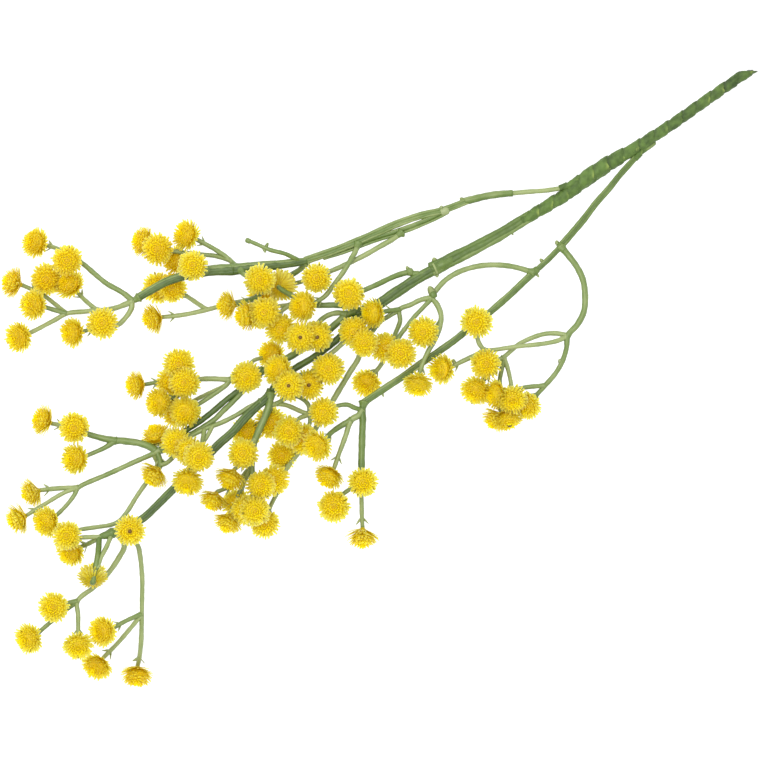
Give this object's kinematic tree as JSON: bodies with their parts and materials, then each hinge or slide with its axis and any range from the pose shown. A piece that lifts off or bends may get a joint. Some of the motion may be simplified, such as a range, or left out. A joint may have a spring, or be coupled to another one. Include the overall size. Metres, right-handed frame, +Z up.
{
  "type": "artificial gypsophila sprig",
  "caption": "Artificial gypsophila sprig lying on its side: taped wire stem, three moulded branches and forked sprays of thin stalks with small layered yellow florets.",
  "frame": {"origin": "middle of the sprig's bounding box, on the surface that it lies on", "axes": "+X along the stem from its cut end towards the flower tips, +Y across the spray, +Z up from the surface"},
  "size_m": [0.4198, 0.2024, 0.054],
  "materials": {
    "core_wire": "drawn steel wire, cut slantwise, dull",
    "stem_tape": "stretched floral tape, satin with a waxy glint on its overlaps",
    "stalk_green": "injection moulded soft plastic, satin, faint flow streaks along the stalk",
    "petal_yellow": "thin moulded soft plastic petals, matte, slightly translucent at their tips"
  },
  "bodies": {
    "root": {"stem_wire": "core_wire", "stem_tape": "stem_tape", "branch_a": "stalk_green", "branch_b": "stalk_green", "branch_c": "stalk_green", "spray_c1": "petal_yellow", "spray_c2": "petal_yellow", "spray_c3": "petal_yellow", "spray_b1": "petal_yellow", "spray_b2": "petal_yellow", "spray_b3": "petal_yellow", "spray_b4": "petal_yellow", "spray_b5": "petal_yellow", "spray_b6": "petal_yellow", "spray_b7": "petal_yellow", "spray_b8": "petal_yellow", "spray_b9": "petal_yellow", "spray_b10": "petal_yellow", "spray_b11": "petal_yellow", "spray_a1": "petal_yellow", "spray_a2": "petal_yellow", "spray_a3": "petal_yellow", "spray_a4": "petal_yellow", "spray_a5": "petal_yellow", "spray_a6": "petal_yellow", "spray_a7": "petal_yellow"}
  },
  "joints": []
}
